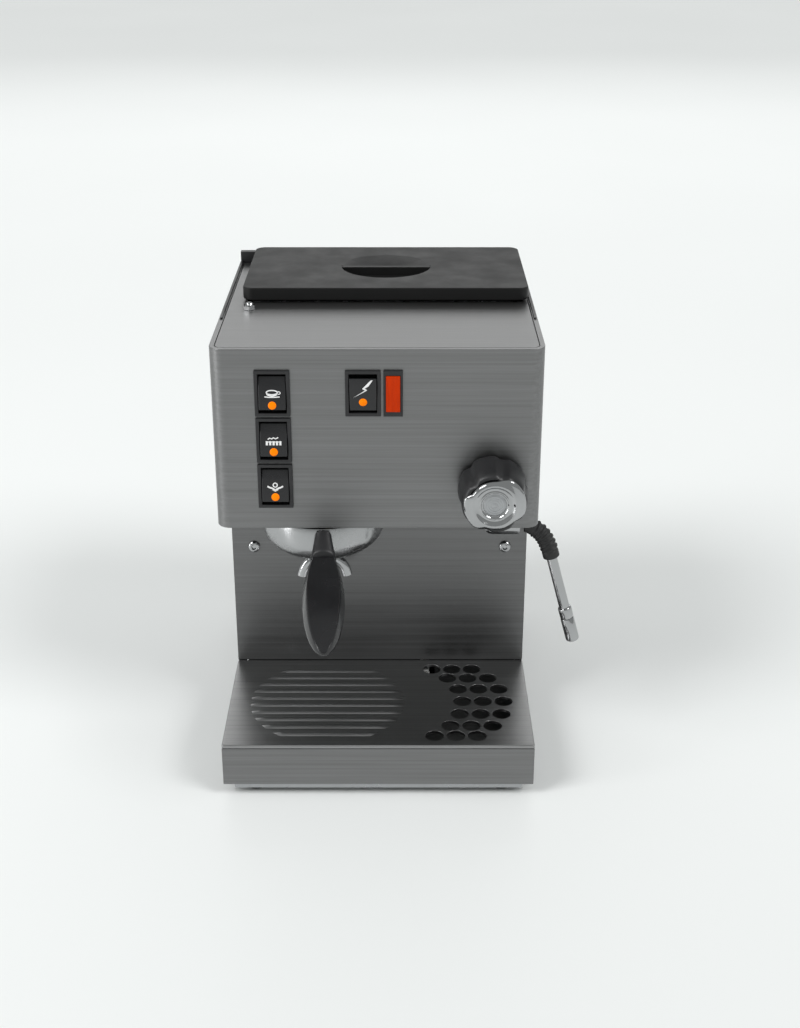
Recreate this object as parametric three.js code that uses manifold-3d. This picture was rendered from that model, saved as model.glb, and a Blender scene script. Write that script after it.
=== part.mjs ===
// Single-boiler home espresso machine, as an assembly of named parts.
// Units are millimetres, +Z is up and the front of the machine faces -Y.
// Parts are drawn about the middle of the head's front face, at floor level,
// and the whole group is then moved so that its bounding box stands centred on the origin.
import * as THREE from "three";
import { mergeVertices } from "three/addons/utils/BufferGeometryUtils.js";
import Module from "manifold-3d";

const wasm = await Module();
wasm.setup();

// ---------- driving dimensions ----------
const GAP = 0.4; // between neighbouring parts
const SHEET = 1.2; // stainless steel sheet
const PLATE = 2.0; // frame and floor steel

// The box of the head, which overhangs the cup space.
const HEAD = { halfWidth: 117.5, bottom: 192, top: 328.2, back: 238, corner: 10, lip: 3.6 };
// The column behind the cup space, and the plane of its splash panel.
const COLUMN = { halfWidth: 114.8, front: 65.1, back: 239.4, bottom: 14 };
const BASE = { halfWidth: 107, front: -57, bottom: 5, top: 10 };
const TRAY = { halfWidth: 115, front: -60.6, back: 62.6, bottom: 10.6, top: 41.4, slot: 31.5 };
const COVER = { top: 44.5, thick: 2.6, lip: 5 };
const FOOT = { radius: 10, x: 92, front: -42, back: 214 };

// The brewing axis: boiler, group, filter holder and spouts are round about it.
const BREW = { x: -42.3, y: 47.5 };
const HOLDER = { outer: 46, skirtTop: 190.4, bottom: 152.4, belly: 176, turn: 2.5, gate: 47.5 };
const BAY = { clearance: 2 };
const NECK = { high: 184.4, low: 174.6 };
const HANDLE = {
  seam: 66,
  length: 99,
  drop: 12.1,
  halfWidth: 15,
  halfHeight: 12.5,
  seamHalfWidth: 9.8,
  widest: 0.44,
};

// Rows and columns of the switches on the front face.
const SWITCH = { width: 25.1, height: 33.6, x: -73.6, z: [296.2, 261, 225.8] };
const POWER = { x: -9.9, z: 296.2 };
const LAMP = { x: 11.2, width: 13.6, windowWidth: 10, windowHeight: 26.3 };
const ROCKER = { pivot: 3.2, tilt: 7, halfWidth: 9.6, halfHeight: 12.2, reach: 6, crease: 4.9, slope: 1.8 };

const KNOB = { x: 82.3, z: 226, radius: 25.2, back: -2.6, front: -35, flutes: 6 };
const WAND = { x: 101, y: 25, z: 184, tube: 4, tip: 5.2, sleeve: 5.6, drop: 98, lean: 15.2 };

const LID = { left: -103.8, right: 114, front: 113.6, back: 239.8, bottom: 330.4, top: 340 };
const GUARD = { rail: 1.6, post: 9 };
const GRIP = { x: 4.9, y: 178.5, radius: 37.2, depth: 7.2 };
const TANK = { left: -98, right: 107, front: 122, back: 230, bottom: 213, top: 327.2 };
const BOILER = { radius: 34, wall: 3.4, bottom: 201.2, top: 288 };

// The pump lies along X: inlet on the left, relief valve and outlet on the right.
const PUMP = { x: 20, y: 160, z: 62 };
const SPIGOT = { x: -80, y: 150, radius: 6 };
const RISER = { x: 83, y: 100 };
const DRAIN = { x: 36, y: 90, z: 36 };

const PATTERN = {
  ribs: 10,
  ribPitch: 10.3,
  ribX: -39.4,
  ribY: 1.1,
  ribRadius: 59.4,
  rows: 7,
  columns: 3,
  arc: 64.4,
  arcX: -0.4,
  arcY: 1.3,
  step: 16.45,
  pitch: 15.85,
  hole: 7.2,
};

// ---------- materials ----------
function finish(color, roughness, metalness) {
  return new THREE.MeshStandardMaterial({ color, roughness, metalness });
}
const brushed = finish(0x8b8c8d, 0.38, 1);
const polished = finish(0xd8dadc, 0.08, 1);
const painted = finish(0x2b2c2e, 0.6, 0.1);
const galvanised = finish(0x9a9ea2, 0.45, 0.9);
const blackPlastic = finish(0x171718, 0.45, 0);
const glossPlastic = finish(0x0f0f10, 0.15, 0);
const rubber = finish(0x1c1c1c, 0.8, 0);
const brass = finish(0xb9975a, 0.3, 1);
const copper = finish(0xb87345, 0.28, 1);
const clearPlastic = finish(0xdfe3e4, 0.2, 0);
const orange = finish(0xd1440c, 0.3, 0);

// ---------- solids ----------
const rad = THREE.MathUtils.degToRad;

function solid(geometry) {
  const bare = new THREE.BufferGeometry();
  bare.setAttribute("position", geometry.getAttribute("position"));
  if (geometry.index) bare.setIndex(geometry.index);
  const merged = mergeVertices(bare, 1e-4);
  return new wasm.Manifold(
    new wasm.Mesh({
      numProp: 3,
      vertProperties: merged.attributes.position.array,
      triVerts: new Uint32Array(merged.index.array),
    }),
  );
}

const join = (...pieces) => wasm.Manifold.union(pieces);
const cut = (from, ...tools) => wasm.Manifold.difference([from, ...tools]);
const common = (...pieces) => wasm.Manifold.intersection(pieces);

function box(x0, x1, y0, y1, z0, z1) {
  const geometry = new THREE.BoxGeometry(x1 - x0, y1 - y0, z1 - z0);
  return solid(geometry.translate((x0 + x1) / 2, (y0 + y1) / 2, (z0 + z1) / 2));
}

// A cylinder or cone that starts at `from` and runs `length` along +X, +Y or +Z.
function rod(axis, from, length, radius, endRadius = radius, sides = 20) {
  const geometry = new THREE.CylinderGeometry(endRadius, radius, length, sides);
  geometry.translate(0, length / 2, 0);
  if (axis === "x") geometry.rotateZ(-Math.PI / 2);
  if (axis === "z") geometry.rotateX(Math.PI / 2);
  return solid(geometry.translate(...from));
}

function ball(centre, radius, sides = 24) {
  const geometry = new THREE.SphereGeometry(radius, sides, sides / 2);
  return solid(geometry.translate(...centre));
}

// Turns [radius, z] points about a vertical axis at x, y.
function turned(profile, x, y, sides = 48) {
  const points = profile.map(([r, z]) => new THREE.Vector2(r, z));
  const geometry = new THREE.LatheGeometry(points, sides);
  return solid(geometry.rotateX(Math.PI / 2).translate(x, y, 0));
}

// An upright prism of an outline in X and Y.
function prism(shape, z0, z1, curveSegments = 8) {
  const geometry = new THREE.ExtrudeGeometry(shape, {
    depth: z1 - z0,
    bevelEnabled: false,
    curveSegments,
  });
  return solid(geometry.translate(0, 0, z0));
}

// A round bar along a path.
function bar(path, radius, steps = 24, sides = 12) {
  const section = new THREE.Shape().absarc(0, 0, radius, 0, 2 * Math.PI);
  const geometry = new THREE.ExtrudeGeometry(section, {
    steps,
    extrudePath: path,
    curveSegments: sides / 2,
  });
  return solid(geometry);
}

const at = (x, y, z) => new THREE.Vector3(x, y, z);

// Straight runs between points, with each inner corner rounded off.
function pipeRun(points, bend) {
  const path = new THREE.CurvePath();
  let last = points[0];
  for (let i = 1; i < points.length - 1; i += 1) {
    const corner = points[i];
    const before = corner.clone().lerp(points[i - 1], bend / corner.distanceTo(points[i - 1]));
    const after = corner.clone().lerp(points[i + 1], bend / corner.distanceTo(points[i + 1]));
    path.add(new THREE.LineCurve3(last, before));
    path.add(new THREE.QuadraticBezierCurve3(before, corner, after));
    last = after;
  }
  path.add(new THREE.LineCurve3(last, points[points.length - 1]));
  return path;
}

function roundedRectangle(x0, x1, y0, y1, radius) {
  const shape = new THREE.Shape();
  shape.moveTo(x0 + radius, y0);
  shape.lineTo(x1 - radius, y0);
  shape.absarc(x1 - radius, y0 + radius, radius, -Math.PI / 2, 0);
  shape.lineTo(x1, y1 - radius);
  shape.absarc(x1 - radius, y1 - radius, radius, 0, Math.PI / 2);
  shape.lineTo(x0 + radius, y1);
  shape.absarc(x0 + radius, y1 - radius, radius, Math.PI / 2, Math.PI);
  shape.lineTo(x0, y0 + radius);
  shape.absarc(x0 + radius, y0 + radius, radius, Math.PI, 1.5 * Math.PI);
  return shape;
}

// ---------- the machine ----------
const machine = new THREE.Group();

function addPart(name, body, material) {
  const made = body.getMesh();
  const geometry = new THREE.BufferGeometry();
  geometry.setAttribute("position", new THREE.BufferAttribute(made.vertProperties, 3));
  geometry.setIndex(new THREE.BufferAttribute(made.triVerts, 1));
  const mesh = new THREE.Mesh(geometry, material);
  mesh.name = name;
  machine.add(mesh);
}

// ---------- feet, base and frame ----------
function addFeet() {
  const sides = { left: -FOOT.x, right: FOOT.x };
  const ends = { front: FOOT.front, rear: FOOT.back };
  for (const [side, x] of Object.entries(sides)) {
    for (const [end, y] of Object.entries(ends)) {
      const pad = rod("z", [x, y, 0], BASE.bottom - GAP, FOOT.radius - 0.8, FOOT.radius);
      addPart(`foot_${end}_${side}`, pad, rubber);
    }
  }
}

function addBasePan() {
  const w = BASE.halfWidth;
  const outer = box(-w, w, BASE.front, COLUMN.back - 1, BASE.bottom, BASE.top);
  const rear = COLUMN.back - 1 - SHEET;
  const inner = box(-w + SHEET, w - SHEET, BASE.front + SHEET, rear, 0, BASE.top - SHEET);
  const seats = [];
  for (const x of [-FOOT.x, FOOT.x]) {
    for (const y of [FOOT.front, FOOT.back]) {
      seats.push(rod("z", [x, y, BASE.bottom], BASE.top - BASE.bottom - 0.5, FOOT.radius));
    }
  }
  addPart("base_pan", join(cut(outer, inner), ...seats), galvanised);
}

function addFrame() {
  const w = COLUMN.halfWidth - SHEET - GAP;
  const thick = 3.6;
  const pieces = [box(-w, w, 69, 236, BASE.top + GAP, BASE.top + GAP + PLATE)];
  for (const side of [-1, 1]) {
    const x0 = side < 0 ? -w : w - thick;
    pieces.push(box(x0, x0 + thick, 69, 83, BASE.top + 1, 322));
    pieces.push(box(x0, x0 + thick, 222, 236, BASE.top + 1, 322));
    pieces.push(box(x0, x0 + thick, 80, 224, 314, 322));
  }
  pieces.push(box(-w, w, 114, 236, TANK.bottom - 3, TANK.bottom - 1));
  pieces.push(box(-w, w, 114, 116, TANK.bottom - 3, 306));
  // The tank's spigot plugs into this socket of the shelf, and the feed hose hangs below it.
  const { x, y, radius } = SPIGOT;
  pieces.push(rod("z", [x, y, TANK.bottom - 21], 19, radius + 2.6));
  const socket = rod("z", [x, y, TANK.bottom - 17], 20, radius + 0.5);
  const outlet = rod("z", [x, y, TANK.bottom - 25], 10, 3);
  addPart("chassis_frame", cut(join(...pieces), socket, outlet), painted);
}

// ---------- sheet metal ----------
// The outline of the head in plan: straight sides, an open back, rounded front corners.
function headOutline(inset) {
  const w = HEAD.halfWidth - inset;
  const r = Math.max(HEAD.corner - inset, 1);
  const shape = new THREE.Shape();
  shape.moveTo(-w, HEAD.back);
  shape.lineTo(-w, inset + r);
  shape.absarc(-w + r, inset + r, r, Math.PI, 1.5 * Math.PI);
  shape.lineTo(w - r, inset);
  shape.absarc(w - r, inset + r, r, -Math.PI / 2, 0);
  shape.lineTo(w, HEAD.back);
  return shape;
}

function switchCutOuts() {
  const reach = [-5, 5];
  const w = SWITCH.width / 2 - 1.6;
  const h = SWITCH.height / 2 - 1.6;
  const holes = SWITCH.z.map((z) => box(SWITCH.x - w, SWITCH.x + w, ...reach, z - h, z + h));
  holes.push(box(POWER.x - w, POWER.x + w, ...reach, POWER.z - h, POWER.z + h));
  const l = LAMP.width / 2 - 1.6;
  holes.push(box(LAMP.x - l, LAMP.x + l, ...reach, POWER.z - h, POWER.z + h));
  return holes;
}

function addHeadShell() {
  const wall = cut(
    prism(headOutline(0), HEAD.bottom, HEAD.top, 4),
    prism(headOutline(SHEET), HEAD.bottom - 1, HEAD.top + 1, 4),
    box(-HEAD.halfWidth + SHEET, HEAD.halfWidth - SHEET, 30, HEAD.back + 1, 0, 400),
  );
  const lips = [
    [HEAD.top - SHEET, HEAD.top],
    [HEAD.bottom, HEAD.bottom + SHEET],
  ].map(([z0, z1]) =>
    cut(
      prism(headOutline(0.3), z0, z1, 4),
      prism(headOutline(HEAD.lip), z0 - 1, z1 + 1, 4),
      box(-HEAD.halfWidth + HEAD.lip, HEAD.halfWidth - HEAD.lip, 30, HEAD.back + 1, z0 - 1, z1 + 1),
    ),
  );
  const spindle = rod("y", [KNOB.x, -5, KNOB.z], 10, 6);
  addPart("head_shell", cut(join(wall, ...lips), ...switchCutOuts(), spindle), brushed);
}

function addHeadFloor() {
  const w = HEAD.halfWidth - SHEET - GAP;
  const z = HEAD.bottom + SHEET + GAP;
  const post = COLUMN.halfWidth - SHEET - GAP;
  const plate = box(-w, w, SHEET + GAP + 8, 112, z, z + PLATE);
  const front = box(-w + 10, w - 10, SHEET + GAP, 20, z, z + PLATE);
  const slots = [-1, 1].map((side) => {
    const x0 = side < 0 ? -post - GAP : post - 4;
    return box(x0, x0 + 4 + GAP, 68.5, 83.5, z - 1, z + 5);
  });
  const group = rod("z", [BREW.x, BREW.y, z - 1], 5, 40.2, 40.2, 48);
  const elbow = rod("z", [WAND.x - 16, WAND.y, z - 1], 5, 8);
  const riser = rod("z", [RISER.x, RISER.y, z - 1], 5, 4);
  const drain = rod("z", [DRAIN.x, DRAIN.y, z - 1], 5, 5);
  addPart("head_floor", cut(join(plate, front), ...slots, group, elbow, riser, drain), painted);
}

// The outside of the filter holder's bowl, grown by `offset`.
function bowlCurve(offset, points) {
  const { outer, bottom, belly } = HOLDER;
  const path = new THREE.Path().moveTo(9, bottom);
  path.bezierCurveTo(24, bottom + 2.6, outer - 1, bottom + 7.6, outer, belly);
  return path.getPoints(points).map((p) => [p.x + offset, p.y - offset]);
}

function bowlSolid(offset, top, points, sides) {
  const curve = bowlCurve(offset, points);
  const [rim] = curve[curve.length - 1];
  return turned([[0, curve[0][1]], ...curve, [rim, top], [0, top]], BREW.x, BREW.y, sides);
}

// The splash panel is flat, with a bay that follows the filter holder's bowl.
function addSplashPanel() {
  const { front, halfWidth } = COLUMN;
  const top = HEAD.bottom - GAP;
  const bottom = COVER.top + GAP;
  const sheet = box(-halfWidth, halfWidth, front, front + SHEET, bottom, top);
  const bayOuter = bowlSolid(BAY.clearance + SHEET, top, 6, 56);
  const bayInner = bowlSolid(BAY.clearance, top + 10, 6, 56);
  const ahead = box(-200, 200, -200, front, 0, 400);
  const holes = [-1, 1].map((side) => rod("y", [side * 98, front - 3, 146.3], 10, 2.4));
  addPart("splash_panel", cut(join(sheet, cut(bayOuter, ahead)), bayInner, ...holes), brushed);
}

function addColumnPanels() {
  const { halfWidth, front, back, bottom } = COLUMN;
  for (const [side, sign] of Object.entries({ left: -1, right: 1 })) {
    const xs = [sign * halfWidth, sign * (halfWidth - SHEET)].sort((a, b) => a - b);
    const panel = box(...xs, front + SHEET + GAP, back - SHEET - GAP, bottom, HEAD.bottom - GAP);
    addPart(`side_panel_${side}`, panel, brushed);
  }
  const w = HEAD.halfWidth - 0.5;
  const rear = join(
    box(-w, w, back - SHEET, back, HEAD.bottom, HEAD.top - 0.5),
    box(-halfWidth, halfWidth, back - SHEET, back, bottom, HEAD.bottom + 1),
  );
  const gland = rod("y", [60, back - 5, 40], 10, 7);
  const vents = [0, 1, 2, 3, 4].map((i) => {
    const low = 110 + 12 * i;
    return box(-50, 50, back - 5, back + 5, low, low + 4);
  });
  addPart("rear_panel", cut(rear, gland, ...vents), brushed);
}

function addTopPlate() {
  const plate = cut(
    prism(headOutline(HEAD.lip + 0.5), HEAD.top - 1.6, HEAD.top, 4),
    box(-200, 200, HEAD.back - 0.6, HEAD.back + 5, 300, 340),
  );
  const opening = box(TANK.left - 3, TANK.right + 3, TANK.front - 4, HEAD.back + 5, 300, 340);
  const screw = rod("z", [-97, 97, 320], 20, 2.4);
  addPart("top_plate", cut(plate, opening, screw), brushed);
}

// The black guard round the back of the cup warmer: low rails, and a post in the free rear corner.
function addTopGuard() {
  const z = HEAD.top + 0.3;
  const { rail, post } = GUARD;
  const outer = HEAD.halfWidth - 1;
  const back = HEAD.back + 1.2;
  const side = new THREE.Shape();
  side.moveTo(72, 0);
  side.lineTo(back, 0);
  side.lineTo(back, rail);
  side.lineTo(98, rail);
  side.bezierCurveTo(92, rail, 90, 1, 72, 0.8);
  const rails = [-1, 1].map((sign) => {
    const settings = { depth: 1.8, bevelEnabled: false, curveSegments: 6 };
    const geometry = new THREE.ExtrudeGeometry(side, settings);
    geometry.rotateX(Math.PI / 2).rotateZ(Math.PI / 2);
    return solid(geometry.translate(sign < 0 ? -outer : outer - 1.8, 0, z));
  });
  const low = box(-outer, outer, back - 6, back, z, z + 1.4);
  const corner = box(-outer, LID.left - 0.8, back - 6, back, z, z + post);
  addPart("top_guard", join(...rails, low, corner), blackPlastic);
}

// ---------- drip tray ----------
function addDripTray() {
  const { halfWidth: w, front, back, bottom, top } = TRAY;
  const outer = box(-w, w, front, back, bottom, top);
  const inner = box(-w + SHEET, w - SHEET, front + SHEET, back - SHEET, bottom + SHEET, top + 1);
  const drainNotch = box(28, 44, back - 5, back + 5, 29, top + 1);
  const slots = [-1, 1].map((side) => {
    const xs = [side * (w - 0.6), side * (w + 1)].sort((a, b) => a - b);
    return box(...xs, front + 0.5, front + 2.3, TRAY.slot, top + 1);
  });
  addPart("drip_tray", cut(outer, inner, drainNotch, ...slots), brushed);
}

function coverHoles(radius, z0, z1) {
  const { rows, columns, arc, arcX, arcY, step, pitch } = PATTERN;
  const holes = [];
  for (let row = 0; row < rows; row += 1) {
    const angle = rad((row - (rows - 1) / 2) * step);
    for (let column = 0; column < columns; column += 1) {
      const x = arcX + arc * Math.cos(angle) + column * pitch;
      const y = arcY - arc * Math.sin(angle);
      holes.push(rod("z", [x, y, z0], z1 - z0, radius, radius, 12));
    }
  }
  return holes;
}

function coverRibs(floor) {
  const { ribs, ribPitch, ribX, ribY, ribRadius } = PATTERN;
  const disc = rod("z", [ribX, ribY, floor - 0.5], 4, ribRadius - 0.01, ribRadius - 0.01, 40);
  const bars = [];
  for (let i = 0; i < ribs; i += 1) {
    const y = ribY + (i - (ribs - 1) / 2) * ribPitch;
    bars.push(rod("x", [ribX - 60, y, floor - 3.2], 120, 5, 5, 16));
  }
  return common(join(...bars), disc);
}

function addTrayCover() {
  const w = TRAY.halfWidth;
  const { top, thick, lip } = COVER;
  const under = top - thick;
  const plate = box(-w, w, TRAY.front, COLUMN.front - GAP, under, top);
  const inset = SHEET + 0.8;
  const rimEnd = TRAY.back - inset;
  const rimOuter = box(-w + inset, w - inset, TRAY.front + inset, rimEnd, under - lip, under + 0.5);
  const inner = inset + 1.2;
  const rimInner = box(-w + inner, w - inner, TRAY.front + inner, rimEnd - 1.2, 0, under);
  const drainNotch = box(26, 46, TRAY.back - 6, TRAY.back + 1, under - lip - 1, under);
  const { ribX, ribY, ribRadius } = PATTERN;
  const dish = rod("z", [ribX, ribY, top - 1], 5, ribRadius, ribRadius, 40);
  const sheet = join(cut(plate, dish), cut(rimOuter, rimInner, drainNotch));
  const bored = cut(sheet, ...coverHoles(PATTERN.hole, 0, 60));
  addPart("tray_cover", join(bored, coverRibs(top - 1)), brushed);
}

// ---------- water ----------
function addTank() {
  const { left, right, front, back, bottom, top } = TANK;
  const outer = prism(roundedRectangle(left, right, front, back, 8), bottom, top, 4);
  const inside = roundedRectangle(left + 2, right - 2, front + 2, back - 2, 6);
  const inner = prism(inside, bottom + 2.5, top + 1, 4);
  const spigot = rod("z", [SPIGOT.x, SPIGOT.y, bottom - 14], 15, SPIGOT.radius);
  const outlet = rod("z", [SPIGOT.x, SPIGOT.y, 0], 300, 3);
  addPart("water_tank", cut(join(outer, spigot), inner, outlet), clearPlastic);
}

function addLid() {
  const { left, right, front, back, bottom, top } = LID;
  const block = new THREE.ExtrudeGeometry(roundedRectangle(left + 1, right - 1, front + 1, back - 1, 7), {
    depth: top - bottom - 2,
    bevelSize: 1,
    bevelThickness: 1,
    bevelSegments: 2,
    curveSegments: 5,
  });
  const body = solid(block.translate(0, 0, bottom + 1));
  const bowl = ball([GRIP.x, GRIP.y, top + 86.5], 94, 28);
  const well = rod("z", [GRIP.x, GRIP.y, top - GRIP.depth], 20, GRIP.radius, GRIP.radius, 32);
  const dish = common(bowl, well);
  const scoop = common(
    rod("z", [GRIP.x, GRIP.y, top - GRIP.depth], 20, GRIP.radius - 2.5, GRIP.radius, 32),
    box(-60, 70, 100, GRIP.y + 1, 300, 400),
  );
  const reach = GRIP.radius + 1;
  const floor = top - GRIP.depth - 1;
  const handle = box(GRIP.x - reach, GRIP.x + reach, GRIP.y - 2.5, GRIP.y + 2, floor, top - 0.4);
  const rest = box(TANK.left, TANK.right, TANK.front, TANK.back, TANK.top + GAP, bottom + 1);
  addPart("tank_lid", join(cut(body, dish, scoop), common(handle, body), rest), blackPlastic);
}

// ---------- pump and pipes ----------

function addPump() {
  const { x, y, z } = PUMP;
  const base = BASE.top + GAP + PLATE + GAP;
  const bracket = join(
    box(x - 34, x + 34, y - 26, y + 26, base, base + 1.6),
    box(x - 34, x - 31, y - 26, y + 26, base, z),
    box(x + 31, x + 34, y - 26, y + 26, base, z),
  );
  addPart("pump_bracket", cut(bracket, rod("x", [x - 40, y, z], 80, 14.5)), galvanised);
  const motor = join(
    box(x - 22, x + 22, y - 20, y + 20, z - 21, z + 21),
    rod("x", [x - 42, y, z], 84, 13.8),
    rod("x", [x - 52, y, z], 12, 4),
    rod("x", [x + 40, y, z], 14, 6),
  );
  addPart("pump", motor, blackPlastic);
  const end = x + 54 + GAP;
  const relief = join(
    box(end, end + 18, y - 9, y + 9, z - 10, z + 14),
    rod("y", [end + 9, y + 8, z], 20, 7),
  );
  addPart("relief_valve", relief, brass);
}

function addWaterPipes() {
  const { x, y } = SPIGOT;
  const feed = pipeRun([at(x, y, 191.6), at(x, y, 62), at(PUMP.x - 53.5, PUMP.y, PUMP.z)], 24);
  addPart("feed_hose", bar(feed, 4, 16, 8), clearPlastic);
  const outletX = PUMP.x + 54 + GAP + 9;
  const pressure = pipeRun(
    [
      at(outletX, PUMP.y, PUMP.z + 14.4),
      at(outletX, PUMP.y, 150),
      at(RISER.x, RISER.y, 150),
      at(RISER.x, RISER.y, 296),
      at(-62, RISER.y, 296),
      at(-62, 56, 296),
      at(-62, 56, BOILER.top + GAP),
    ],
    7,
  );
  addPart("pressure_pipe", bar(pressure, 2.5, 44, 6), copper);
}

function addSteamPipe() {
  const top = 305;
  const y = 64;
  const path = pipeRun(
    [
      at(-26, y, BOILER.top + GAP),
      at(-26, y, top),
      at(KNOB.x, y, top),
      at(KNOB.x, y, KNOB.z),
      at(KNOB.x, 44.4, KNOB.z),
    ],
    9,
  );
  addPart("steam_pipe", bar(path, 3, 34, 6), copper);
}

// The three-way valve lets the brewing pressure out into the drip tray.
function addSolenoid() {
  const z = HEAD.bottom + SHEET + GAP + PLATE + GAP;
  const valve = join(
    box(24, 48, 34, 58, z, z + 18),
    box(20, 52, 30, 62, z + 17, z + 50),
    rod("z", [36, 46, z + 49], 6, 6),
  );
  addPart("solenoid_valve", valve, painted);
  const path = pipeRun(
    [
      at(DRAIN.x, 58.4, z + 9),
      at(DRAIN.x, DRAIN.y, z + 9),
      at(DRAIN.x, DRAIN.y, DRAIN.z),
      at(DRAIN.x, 56, DRAIN.z),
    ],
    12,
  );
  addPart("drain_pipe", bar(path, 4, 24, 8), clearPlastic);
}

function addThermostat() {
  const z = BOILER.top + GAP;
  const tab = box(BREW.x - 5, BREW.x + 5, BREW.y - 20, BREW.y - 18, z + 5, z + 12);
  const disc = join(rod("z", [BREW.x, BREW.y - 19, z], 6, 7.6), tab);
  addPart("thermostat", disc, galvanised);
}

function addCableGland() {
  const profile = [
    [3.5, -6],
    [6.6, -6],
    [6.6, 0.4],
    [11, 0.4],
    [11, 3],
    [7.4, 4],
    [6, 9],
    [3.5, 9],
    [3.5, -6],
  ];
  const gland = turned(profile, 0, 0, 20).rotate([-90, 0, 0]).translate([60, COLUMN.back, 40]);
  addPart("cable_gland", gland, blackPlastic);
}

// ---------- boiler and group ----------
function addGroup() {
  const { x, y } = BREW;
  const flange = HEAD.bottom + SHEET + GAP + PLATE + GAP;
  const outline = [
    [3, 190.9],
    [27.2, 190.9],
    [27.2, 198.6],
    [35, 198.6],
    [35, 190.4],
    [32.3, 189.6],
    [32.3, 188.2],
    [36, 188.2],
    [36, 183.4],
    [32.3, 183.4],
    [32.3, 181],
    [38.6, 181],
    [38.6, flange],
    [44, flange],
    [44, BOILER.bottom - GAP],
    [3, BOILER.bottom - GAP],
    [3, 190.9],
  ];
  const gates = [90, 270].map((angle) => {
    const gate = box(0, 35.9, -14, 14, 180, 184);
    return gate.rotate([0, 0, angle + HOLDER.gate]).translate([x, y, 0]);
  });
  addPart("group_head", cut(turned(outline, x, y, 28), ...gates), brass);
  const seal = [
    [27.7, 191.6],
    [34.6, 191.6],
    [34.6, 198.2],
    [27.7, 198.2],
    [27.7, 191.6],
  ];
  addPart("group_gasket", turned(seal, x, y, 28), rubber);
  const screen = [
    [0, 189],
    [26.6, 189],
    [26.6, 190.4],
    [0, 190.4],
  ];
  addPart("shower_screen", turned(screen, x, y, 36), polished);
}

function addBoiler() {
  const { x, y } = BREW;
  const { radius: r, wall, bottom, top } = BOILER;
  const profile = [
    [r - wall, bottom],
    [r + 4, bottom],
    [r + 4, bottom + 7],
    [r, bottom + 7],
    [r, top - 4],
    [r - 4, top],
    [0, top],
    [0, top - wall],
    [r - wall, top - wall],
    [r - wall, bottom],
  ];
  const terminals = [-12, 12].map((dx) => rod("z", [x + dx, y, top - 10], 20, 4.4));
  addPart("boiler", cut(turned(profile, x, y, 28), ...terminals), brass);
  const loop = pipeRun(
    [
      at(x - 12, y, top + 12),
      at(x - 12, y, bottom + 16),
      at(x + 12, y, bottom + 16),
      at(x + 12, y, top + 12),
    ],
    11,
  );
  addPart("heating_element", bar(loop, 4, 28, 8), copper);
}

// ---------- filter holder ----------
const turnWithHolder = (body) =>
  body.translate([-BREW.x, -BREW.y, 0]).rotate([0, 0, HOLDER.turn]).translate([BREW.x, BREW.y, 0]);

function addFilterHolder() {
  const { x, y } = BREW;
  const R = HOLDER.outer;
  const outline = [
    [4, HOLDER.bottom],
    ...bowlCurve(0, 6),
    [R, HOLDER.skirtTop - 1],
    [R - 1, HOLDER.skirtTop],
    [39.6, HOLDER.skirtTop],
    [39.6, 178],
    [31.8, 178],
    [31.8, 189.2],
    [28.8, 189.2],
    [28.8, 163],
    [4, 160],
    [4, HOLDER.bottom],
  ];
  const ears = [0, 180].map((angle) =>
    common(box(0, 60, -11, 11, 183.9, 187.4), rod("z", [0, 0, 180], 20, 35.5, 35.5, 48))
      .subtract(rod("z", [0, 0, 170], 40, 31, 31, 48))
      .rotate([0, 0, angle])
      .translate([x, y, 0]),
  );
  const boss = rod("y", [x, y - R - 3, NECK.high], 12, 4.6, 5.4, 20);
  const trench = rod("z", [x, y, 160], 40, 40, 40, 48);
  const body = join(turned(outline, x, y, 32), cut(boss, trench), ...ears);
  addPart("filter_holder", turnWithHolder(body), polished);

  const basket = [
    [0, 164],
    [26, 164],
    [28.2, 167],
    [28.2, 189.6],
    [31, 189.6],
    [31, 190.1],
    [27.4, 190.1],
    [27.4, 167.2],
    [25.6, 164.8],
    [0, 164.8],
  ];
  addPart("filter_basket", turned(basket, x, y, 28), polished);
}

function addSpout() {
  const { x, y } = BREW;
  const arms = [-1, 1].map((side) => {
    const path = new THREE.QuadraticBezierCurve3(
      at(x, y, 146),
      at(x + side * 15, y, 146),
      at(x + side * 19.4, y, 130.4),
    );
    return bar(path, 3.8, 6, 10);
  });
  const nut = rod("z", [x, y, 141.4], 10.6, 8, 8, 6);
  const neck = rod("z", [x, y, 145], 12, 3.6);
  addPart("spout", turnWithHolder(join(nut, neck, ...arms)), polished);
}

// Half the handle's width, from its seam at t = 0 to its pointed end at t = 1.
function handleHalfWidth(t) {
  const { halfWidth, widest, seamHalfWidth } = HANDLE;
  if (t < widest) {
    const swell = Math.sin(((t / widest) * Math.PI) / 2);
    return seamHalfWidth + (halfWidth - seamHalfWidth) * swell;
  }
  const past = (t - widest) / (1 - widest);
  return Math.max(halfWidth * Math.sqrt(Math.max(1 - past * past, 0)), 0.8);
}

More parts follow.
